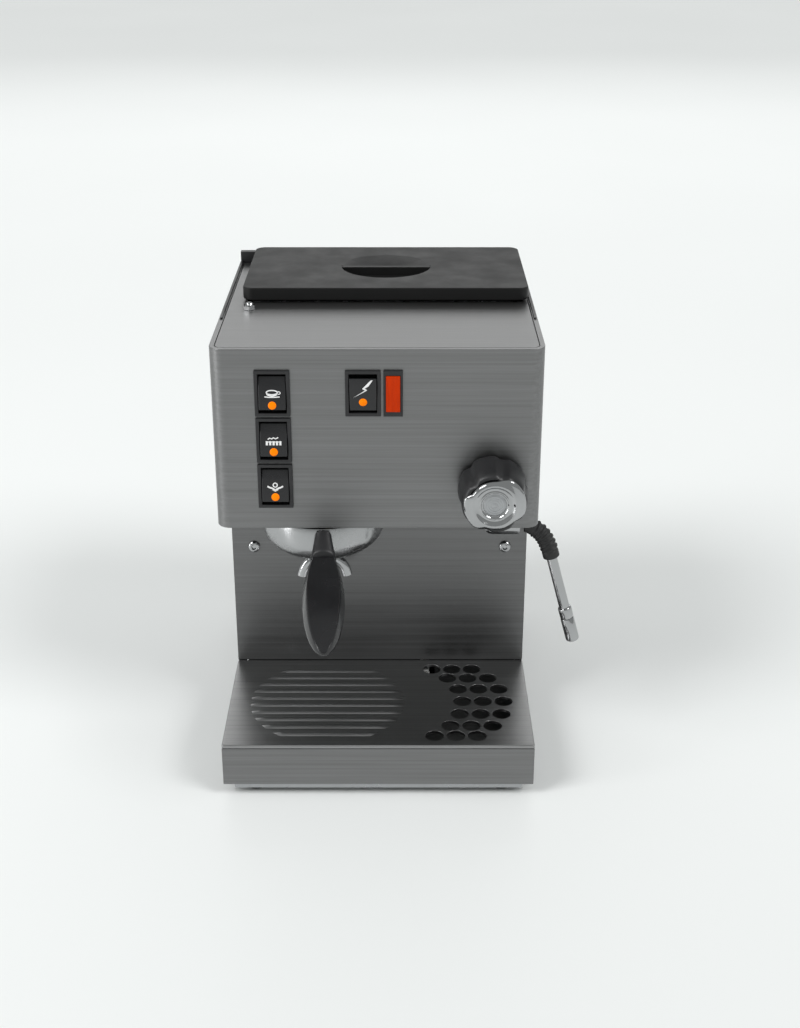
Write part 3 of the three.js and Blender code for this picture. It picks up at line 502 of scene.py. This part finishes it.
def rib_rings(y, top):
    """Rings across a rib at y, which runs as wide as the circle that the ribs fill is there."""
    rings = []
    for j in range(RIB["steps"] + 1):
        share = j / RIB["steps"]
        ring = []
        for d in RIB["across"]:
            reach = math.sqrt(max(PATTERN["radius"] ** 2 - (y + d - PATTERN["y"]) ** 2, 4))
            x = PATTERN["x"] + reach * (2 * share - 1)
            ends = smooth_step(min(share, 1 - share) * 2 * reach, 0, RIB["run_out"])
            height = RIB["height"] * ends * (1 - (d / RIB["half"]) ** 2)
            ring.append(spot(x, y + d, top + 0.02 + height))
        rings.append(ring)
    return rings


def add_ribs(top):
    """Low half-round ribs on the cup stand."""
    corners, faces = [], []
    size = len(RIB["across"])
    for i in range(PATTERN["ribs"]):
        y = PATTERN["y"] + (i - (PATTERN["ribs"] - 1) / 2) * PATTERN["pitch"]
        base = len(corners)
        for ring in rib_rings(y, top):
            corners += ring
        for j in range(RIB["steps"]):
            for k in range(size - 1):
                a = base + j * size + k
                faces.append((a, a + 1, a + size + 1, a + size))
    piece_of("cover_ribs", corners, faces, LIT_COVER_STEEL, "tray_cover")


# ---------- steam knob ----------
# Heights of the cap and disc above the knob's back, and the radius that the cap's scoops reach in to.
KNOB = dict(cap=29.9, disc=33.5, scoop=17.2, sides=144)


def knob_flutes(radius, angle):
    wave = max(math.cos(6 * (angle - math.radians(75))), 0) ** 2
    return radius - 1.9 * wave * smooth_step(radius, 17, 21)


def wing(angle):
    """1 on the cap's two wings, 0 at the two scoops between them."""
    degrees = (math.degrees(angle) + 360) % 360
    left = smooth_step(degrees, 150, 168) * (1 - smooth_step(degrees, 228, 252))
    turned = (degrees + 60) % 360
    right = smooth_step(turned, 14, 46) * (1 - smooth_step(turned, 112, 150))
    return max(left, right)


def cap_edge(radius, angle):
    scoop = KNOB["scoop"]
    return radius if radius <= scoop else scoop + (radius - scoop) * (0.2 + 0.8 * wing(angle))


def add_knob():
    centre = in_mm(middle("valve_stem"))
    back = in_mm(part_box("steam_knob")[1]).y
    matrix = placed(centre.x, back, centre.z, (90, "X"))
    grip = [
        (4.4, 0), (21.5, 0), (22.8, 0.25), (23.8, 0.9), (24.6, 2.2), (25.1, 5.5), (25.1, 11), (24.8, 17),
        (24.3, 22), (23.6, 26), (22.9, 28.6), (22.1, 30.3), (21.2, 31.5), (20.2, 32.2), (19.3, 32.4),
        (18.7, 32.2), (18.4, 31.6), (18.4, 29.6), (4.4, 29.6), (4.4, 0),
    ]
    corners, faces = rings_to_mesh(lathe(grip, matrix, KNOB["sides"], knob_flutes), capped=False)
    knob = piece_of("knob_grip", corners, faces, MATT, "steam_tap")
    crease(knob, 50)
    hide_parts("steam_knob")
    face = [
        (0.0, 3.6), (8.6, 3.6), (9.2, 3.75), (9.6, 4.3), (10.1, 4.75), (10.6, 4.6), (11, 4.2), (12.2, 4.3),
        (13.4, 4.9), (14.3, 5.8), (14.9, 6.15), (15.6, 6.1), (16.4, 5.8), (KNOB["scoop"], 5.45),
        (19, 5.0), (20.6, 4.6), (21.4, 4.2), (21.9, 3.6), (22, 2.9), (21.7, 2.3), (17.4, 1.2), (KNOB["scoop"], 0), (0.0, 0),
    ]
    matrix = placed(centre.x, back - KNOB["cap"], centre.z, (90, "X"))
    corners, faces = rings_to_mesh(lathe(face, matrix, KNOB["sides"], cap_edge))
    cap = piece_of("knob_face", corners, faces, CHROME, "steam_tap")
    crease(cap, 60)
    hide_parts("knob_cap")
    disc = [(0.0, 0.5), (1.6, 0.5), (2, 0.1)]
    for r in (3.2, 4.8, 6.4):
        disc += [(r - 0.4, 0.1), (r, 0.45), (r + 0.4, 0.1)]
    disc += [(8.4, 0.1), (8.6, -0.3), (0.0, -0.3)]
    matrix = placed(centre.x, back - KNOB["disc"], centre.z, (90, "X"))
    corners, faces = rings_to_mesh(lathe(disc, matrix, 72))
    piece_of("knob_disc", corners, faces, ZINC, "steam_tap")


# ---------- filter holder ----------
HOLDER_TURN = 2.5
HANDLE = dict(seam=66, length=99, drop=12.1, z=172.6, seam_half=9.8, half=15, half_height=12.5, widest=0.44)
BOSS = dict(ahead=43.9, z=184.4)
NECK = dict(start=50, top=186.0, fall=12.1, half=6.2, swell=3.4, squash=0.84, rings=16, sides=40)
SPOUT = dict(nut=141.4, top=146, end=130.6, bend=14.4, reach=17.4, outer=4.2, bore=3.3, taper=0.2)


def turned_holder(matrix):
    """Turns a piece about the brewing axis, as the holder stands when it is locked in."""
    pivot = spot(BREW.x, BREW.y, 0)
    turn = Matrix.Rotation(math.radians(HOLDER_TURN), 4, "Z")
    return Matrix.Translation(pivot) @ turn @ Matrix.Translation(-pivot) @ matrix


def bezier(p0, p1, p2, p3, steps):
    made = []
    for i in range(steps + 1):
        t = i / steps
        shares = (1 - t) ** 3, 3 * t * (1 - t) ** 2, 3 * t * t * (1 - t), t ** 3
        points = (p0, p1, p2, p3)
        made.append(tuple(sum(share * p[axis] for share, p in zip(shares, points)) for axis in (0, 1)))
    return made


def add_holder():
    radius, top = 46, in_mm(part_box("filter_holder")[1]).z
    low = in_mm(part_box("filter_holder")[0]).z
    bowl = bezier((9, low), (24, low + 2.6), (radius - 1, low + 7.6), (radius, low + 23.6), 18)
    profile = [(4, low), (8, low), *bowl]
    profile += [(radius, top - 1.2), (radius - 0.4, top - 0.4), (radius - 1.2, top)]
    profile += [(39.6, top), (39.6, 178), (31.8, 178), (31.8, 189.2)]
    profile += [(28.8, 189.2), (28.8, 163), (4, 160), (4, low)]
    corners, faces = rings_to_mesh(lathe(profile, placed(BREW.x, BREW.y, 0), 128), capped=False)
    holder = piece_of("holder_bowl", corners, faces, SATIN_CHROME, "filter_holder")
    crease(holder, 30)
    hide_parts("filter_holder")
    add_ears()
    boss = [(0.0, 0), (5.3, 0), (5.1, 2), (4.8, 4.6), (4.7, 6.2), (0.0, 6.2)]
    matrix = turned_holder(placed(BREW.x, BREW.y - BOSS["ahead"], BOSS["z"], (90, "X")))
    corners, faces = rings_to_mesh(lathe(boss, matrix, 48))
    crease(piece_of("holder_boss", corners, faces, CHROME, "filter_holder"), 40)


def add_ears():
    """The two locking ears inside the skirt."""
    corners, faces = [], []
    for start in (0, 180):
        rings = []
        for i in range(9):
            angle = math.radians(start + HOLDER_TURN - 17 + 34 * i / 8)
            ring = [
                spot(BREW.x + r * math.cos(angle), BREW.y + r * math.sin(angle), z)
                for r, z in ((31, 183.9), (35.4, 183.9), (35.4, 187.4), (31, 187.4))
            ]
            rings.append(ring)
        made, joined = rings_to_mesh(rings)
        faces += [tuple(k + len(corners) for k in face) for face in joined]
        corners += made
    ears = piece_of("holder_ears", corners, faces, CHROME, "filter_holder", smooth=False)
    round_off(ears, 0.3, 2, 50)


def add_spout_nut():
    low = SPOUT["nut"]
    profile = [(3.6, 0), (7.2, 0), (8, 0.8), (8, 9.8), (7.4, 10.6), (3.6, 10.6)]
    nut = [(r, low + z) for r, z in profile]
    corners, faces = rings_to_mesh(lathe(nut, turned_holder(placed(BREW.x, BREW.y, 0)), 6))
    piece = piece_of("spout_nut", corners, faces, CHROME, "filter_holder", smooth=False)
    round_off(piece, 0.4, 3, 30)
    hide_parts("spout")


def spout_path(side, steps=18):
    path = []
    for i in range(steps + 1):
        t = i / steps
        x = 2 * t * (1 - t) * SPOUT["bend"] + t * t * SPOUT["reach"]
        z = (1 - t) ** 2 * SPOUT["top"] + 2 * t * (1 - t) * SPOUT["top"] + t * t * SPOUT["end"]
        path.append(turned_holder(Matrix.Translation(spot(BREW.x + side * x, BREW.y, z))).translation)
    return path


def add_spouts():
    add_spout_nut()
    for side, name in ((-1, "left"), (1, "right")):
        path = spout_path(side)
        outer = sweep(path, lambda s: SPOUT["outer"] - SPOUT["taper"] * s, 32)
        inner = sweep(path[4:], lambda s: SPOUT["bore"] - SPOUT["taper"] * s, 32)
        corners, faces = rings_to_mesh(outer + inner[::-1])
        crease(piece_of(f"spout_{name}", corners, faces, CHROME, "filter_holder"), 50)


def handle_width(t):
    seam, half, widest = HANDLE["seam_half"], HANDLE["half"], HANDLE["widest"]
    if t < widest:
        return seam + (half - seam) * math.sin(t / widest * math.pi / 2)
    return half * math.sqrt(max(1 - ((t - widest) / (1 - widest)) ** 2, 0))


# One half of the handle's section, from the middle of its top to the middle of its underside.
SECTION = [
    (0.0, 0.80), (0.30, 0.80), (0.52, 0.79), (0.66, 0.78), (0.73, 0.80), (0.78, 0.76), (0.86, 0.56),
    (0.93, 0.36), (0.98, 0.18), (1.0, 0.0), (0.97, -0.24), (0.86, -0.5), (0.66, -0.74),
    (0.4, -0.9), (0.0, -0.96),
]


def add_handle():
    length = HANDLE["length"]
    matrix = turned_holder(
        placed(BREW.x, BREW.y - HANDLE["seam"] - 0.3, HANDLE["z"], (HANDLE["drop"], "X"))
    )
    rings = []
    middle_shares = [0.05 + 0.85 * i / 34 for i in range(35)]
    shares = [0, 0.006, 0.02] + middle_shares + [0.925, 0.95, 0.97, 0.985, 0.995, 1.0]
    seam_shrink = {0: 0.93, 0.006: 0.985}
    for t in shares:
        w = max(handle_width(t), 0.25) * seam_shrink.get(t, 1)
        h = w * HANDLE["half_height"] / HANDLE["half"]
        half = [(w * u, h * v) for u, v in SECTION]
        ring = half + [(-u, v) for u, v in half[-2:0:-1]]
        rings.append([matrix @ Vector((u, -t * length, v)) for u, v in ring])
    corners, faces = rings_to_mesh(rings)
    grip = piece_of("handle_grip", corners, faces, GLOSS, "filter_holder")
    crease(grip, 60)
    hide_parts("holder_handle")
    add_neck()


def neck_ring(t):
    """The neck's section at share t, from the bowl at 0 to the handle's seam at 1."""
    start, end = BREW.y - NECK["start"], BREW.y - HANDLE["seam"]
    w = NECK["half"] + NECK["swell"] * t ** 1.3
    if t == 1:
        w *= 0.95
    y = start + (end - start) * t
    z = NECK["top"] - NECK["fall"] * t ** 1.1
    ring = []
    for k in range(NECK["sides"]):
        a = 2 * math.pi * k / NECK["sides"]
        flat = math.copysign(abs(math.sin(a)) ** 0.85, math.sin(a))
        point = spot(BREW.x + w * math.cos(a), y, z + NECK["squash"] * w * flat)
        ring.append(turned_holder(Matrix.Translation(point)).translation)
    return ring


def add_neck():
    rings = [neck_ring(i / NECK["rings"]) for i in range(NECK["rings"] + 1)]
    corners, faces = rings_to_mesh(rings)
    neck = piece_of("neck_sleeve", corners, faces, MATT, "filter_holder")
    crease(neck, 50)
    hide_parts("handle_neck")


# ---------- steam wand ----------
WAND = dict(lean=15.2, reach=22.8, fall=3.6, drop=98, ball=6.2, bend=0.45, turn=20, sleeve=24)


def wand_path(start, end, steps):
    """Points from share start of the first run to end millimetres past the corner."""
    low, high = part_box("wand_ball")
    ball = WAND["ball"] * MM
    pivot = Vector((low.x + ball, (low.y + high.y) / 2, high.z - ball))
    corner = pivot + Vector((WAND["reach"], 0, -WAND["fall"])) * MM
    lean = math.radians(WAND["lean"])
    along = Vector((math.sin(lean), 0, -math.cos(lean)))
    bend, turn = WAND["bend"], WAND["turn"]
    bend_in, bend_out = pivot.lerp(corner, bend), corner + along * turn * MM
    points = [pivot.lerp(corner, start + (bend - start) * i / 8) for i in range(8)]
    for i in range(21):
        t = i / 20
        points.append(bend_in * (1 - t) ** 2 + corner * 2 * t * (1 - t) + bend_out * t * t)
    points += [bend_out.lerp(corner + along * end * MM, i / steps) for i in range(1, steps + 1)]
    return points, corner, along


def ribbed(share):
    radius = 4.7 + 1.1 * smooth_step(share, 0, 0.16)
    for i in range(6):
        gap = abs(share - (0.24 + 0.105 * i)) / 0.03
        radius += 1.0 * max(0, 1 - gap * gap)
    collar = smooth_step(share, 0.82, 0.86)
    radius = radius * (1 - collar) + 6.3 * collar
    return radius - 0.6 * smooth_step(share, 0.985, 1.0)


def refine(points, gap):
    made = [points[0]]
    for a, b in zip(points, points[1:]):
        steps = max(1, round((b - a).length / gap))
        made += [a.lerp(b, i / steps) for i in range(1, steps + 1)]
    return made


def add_wand():
    path, corner, along = wand_path(0.36, WAND["drop"] - 4, 20)
    corners, faces = rings_to_mesh(sweep(path, lambda s: 4.0, 40))
    tube = piece_of("wand_pipe", corners, faces, CHROME, "steam_wand")
    crease(tube, 50)
    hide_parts("wand_tube")
    path, _, _ = wand_path(0.36, WAND["sleeve"], 3)
    corners, faces = rings_to_mesh(sweep(refine(path, 0.4 * MM), ribbed, 40))
    sleeve = piece_of("wand_grip", corners, faces, RUBBER, "steam_wand")
    crease(sleeve, 70)
    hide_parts("wand_sleeve")
    end = corner + along * WAND["drop"] * MM
    tip = [
        (0.0, 2.2), (0.7, 2.2), (0.7, 0.2), (3.4, 0.2), (4.4, 0.5), (5.0, 1.2), (5.2, 2.2), (5.2, 20),
        (5.0, 20.4), (4.5, 20.6), (4.5, 21.2), (5.0, 21.4), (5.2, 21.8), (5.2, 28.6), (5.0, 29.3),
        (4.6, 29.8), (4.0, 30), (0.0, 30),
    ]
    lean = Matrix.Rotation(-math.radians(WAND["lean"]), 4, "Y")
    matrix = Matrix.Translation(end) @ lean @ Matrix.Scale(MM, 4)
    corners, faces = rings_to_mesh(lathe(tip, matrix, 56))
    nozzle = piece_of("wand_nozzle", corners, faces, CHROME, "steam_wand")
    crease(nozzle, 40)
    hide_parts("wand_tip")


# ---------- screws ----------
def add_screws():
    head = [
        (0.0, 0.5), (1.5, 0.5), (1.8, 0.9), (1.95, 2.0), (2.3, 2.25), (3.0, 2.2), (3.8, 1.85), (4.4, 1.25),
        (4.7, 0.5), (4.7, 0.0), (0.0, 0.0),
    ]
    for side in ("left", "right"):
        node = f"splash_screw_{side}"
        low, high = in_mm(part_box(node)[0]), in_mm(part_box(node)[1])
        x, z = (low.x + high.x) / 2, (low.z + high.z) / 2
        corners, faces = rings_to_mesh(lathe(head, placed(x, low.y + 2.2, z, (90, "X")), 48))
        screw = piece_of(f"screw_head_{side}", corners, faces, CHROME, "machine")
        crease(screw, 40)
        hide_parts(node)


# ---------- switch icons ----------
def stroke(points, width):
    """A flat band of that width along points."""
    faces, corners = [], []
    for i, (x, y) in enumerate(points):
        ax, ay = points[max(i - 1, 0)]
        bx, by = points[min(i + 1, len(points) - 1)]
        size = math.hypot(bx - ax, by - ay) or 1
        nx, ny = -(by - ay) / size * width / 2, (bx - ax) / size * width / 2
        corners += [(x + nx, y + ny), (x - nx, y - ny)]
        if i:
            k = 2 * i
            faces.append((k - 2, k - 1, k + 1, k))
    return corners, faces


def ellipse(x, y, a, b, start=0, end=360, steps=24):
    return [
        (x + a * math.cos(math.radians(start + (end - start) * i / steps)),
         y + b * math.sin(math.radians(start + (end - start) * i / steps)))
        for i in range(steps + 1)
    ]


def polygon(points):
    return points, [tuple(range(len(points)))]


ICONS = {
    "brew": [
        stroke(ellipse(0, 0.9, 3.9, 1.5), 0.8),
        stroke(ellipse(0, 0.7, 3.9, 2.3, 200, 340, 16), 0.9),
        stroke(ellipse(4.6, 0.6, 1.3, 0.9, -110, 110, 12), 0.6),
        stroke([(-5.2, -2.2), (-2, -2.5), (2, -2.5), (5.4, -2.2)], 0.8),
    ],
    "water": [
        stroke([(-4, 1.6), (-2.8, 2.7), (-1.4, 2), (0, 2.9), (1.4, 2.1), (3.4, 3.1)], 0.8),
        *[stroke([(x, 0.4), (x, -2.6)], 1.5) for x in (-4.8, -2.4, 0, 2.4, 4.8)],
        stroke([(-5.5, -0.2), (5.5, -0.2)], 0.6),
    ],
    "steam": [
        stroke(ellipse(0, 1.5, 1.5, 1.5), 0.8),
        stroke([(-5.6, 0.6), (-4, -0.3), (-2.2, -0.9), (0, -2.2)], 1.2),
        stroke([(5.6, 0.6), (4, -0.3), (2.2, -0.9), (0, -2.2)], 1.2),
        stroke([(-2, -1.8), (0, -3), (2, -1.8)], 0.8),
    ],
    "power": [
        polygon([
            (-6.8, -6.3), (1.4, -0.6), (-0.6, 0.6), (5.4, 6.4),
            (6.9, 6.6), (4.0, 2.4), (1.4, 0.9), (3.0, -0.6),
        ]),
    ],
}
ICON_HEIGHT = {"brew": -0.3, "water": -1.0, "steam": -0.8, "power": 4.4}
# A rocker's pivot behind the head's front, its face ahead of the pivot, and the slope above its crease.
ROCKER = dict(pivot=3.2, tilt=7, reach=6, crease=4.9, rise=1.8, run=7.3)
DOT_RINGS = ((2.9, 0.0), (2.9, 0.25), (2.6, 0.5), (1.9, 0.75), (1.0, 0.9), (0.02, 0.95))
DOT_HEIGHT = {"brew": -8.7, "water": -8.6, "steam": -8.3, "power": -5.4}


def on_rocker(name, u, v, lift):
    """A point on a rocker's face: u across and v up from its middle, lift in front of it."""
    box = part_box(f"{name}_switch_housing")
    low, high = in_mm(box[0]), in_mm(box[1])
    x, z = (low.x + high.x) / 2, (low.z + high.z) / 2
    tilt = math.radians(-ROCKER["tilt"] if name == "power" else ROCKER["tilt"])
    depth = rocker_face(v) - lift
    y = ROCKER["pivot"] + depth * math.cos(tilt) + v * math.sin(tilt)
    return spot(x + u, y, z - depth * math.sin(tilt) + v * math.cos(tilt))


def rocker_face(v):
    return -ROCKER["reach"] + ROCKER["rise"] * max(v - ROCKER["crease"], 0) / ROCKER["run"]


def add_icons():
    for name, marks in ICONS.items():
        corners, faces = [], []
        for points, joined in marks:
            faces += [tuple(k + len(corners) for k in face) for face in joined]
            corners += [on_rocker(name, u, v + ICON_HEIGHT[name], 0.12) for u, v in points]
        body = f"{name}_rocker"
        icon = piece_of(f"{name}_icon", corners, faces, PRINT, body, smooth=False)
        ink = icon.modifiers.new("ink", "SOLIDIFY")
        ink.thickness = 0.08 * MM
        rings = []
        for r, lift in DOT_RINGS:
            rings.append([
                on_rocker(name, r * math.cos(a), DOT_HEIGHT[name] + r * math.sin(a), lift)
                for a in (2 * math.pi * k / 32 for k in range(32))
            ])
        corners, faces = rings_to_mesh(rings)
        piece_of(f"{name}_dot", corners, faces, DOT, body)


# ---------- studio ----------
CAMERA = dict(place=(16.01, -988.54, 648.36), down=24.24, lens=52.27, sensor=36)


def add_floor():
    look = Look("pale_floor", Specular_IOR_Level=0.12)
    cloud = look.noise((1.5, 1.5, 1.5), 2)
    look.colour(look.spread(cloud, 0, 1), (0.82, 0.835, 0.83), (0.825, 0.84, 0.835))
    look.rough(cloud, 0.34, 0.38)
    mesh = bpy.data.meshes.new("floor")
    size = 40
    corners = [(-size, -size, 0), (size, -size, 0), (size, size, 0), (-size, size, 0)]
    mesh.from_pydata(corners, [], [(0, 1, 2, 3)])
    mesh.materials.append(look.material)
    floor = bpy.data.objects.new("floor", mesh)
    bpy.context.scene.collection.objects.link(floor)


def aim(thing, target):
    thing.rotation_euler = (target - thing.location).to_track_quat("-Z", "Y").to_euler()


def add_area(name, place, target, width, height, power):
    data = bpy.data.lights.new(name, "AREA")
    data.shape = "RECTANGLE"
    data.size, data.size_y, data.energy = width, height, power
    light = bpy.data.objects.new(name, data)
    light.location = place
    bpy.context.scene.collection.objects.link(light)
    aim(light, Vector(target))


def add_sun(name, place, strength, spread):
    data = bpy.data.lights.new(name, "SUN")
    data.energy, data.angle = strength, math.radians(spread)
    light = bpy.data.objects.new(name, data)
    light.location = place
    bpy.context.scene.collection.objects.link(light)
    aim(light, Vector((0, 0, 0)))


def add_light():
    world = bpy.data.worlds.new("studio")
    world.use_nodes = True
    back = world.node_tree.nodes["Background"]
    back.inputs["Color"].default_value = (0.97, 1.0, 0.99, 1)
    back.inputs["Strength"].default_value = 0.42
    bpy.context.scene.world = world
    add_sun("sun_left", (-2.6, -1.6, 3.0), 1.3, 24)
    add_sun("sun_right", (2.6, -1.6, 3.0), 1.28, 24)
    add_area("softbox_back", (0, 3.2, 1.9), (0, 0, 0.25), 4.0, 1.6, 24)
    add_area("softbox_left", (-1.7, -0.75, 0.5), (0, 0, 0.18), 0.45, 0.9, 8)
    bpy.context.scene.view_settings.view_transform = "Standard"


def add_camera():
    data = bpy.data.cameras.new("camera")
    data.sensor_width = CAMERA["sensor"]
    data.lens = CAMERA["lens"]
    camera = bpy.data.objects.new("camera", data)
    camera.location = spot(*CAMERA["place"])
    camera.rotation_euler = (math.radians(90 - CAMERA["down"]), 0, 0)
    bpy.context.scene.collection.objects.link(camera)
    bpy.context.scene.camera = camera


add_camera()
add_floor()
add_light()
dress_all()
add_tray_cover()
add_knob()
add_holder()
add_spouts()
add_handle()
add_wand()
add_screws()
add_icons()

bpy.context.view_layer.update()
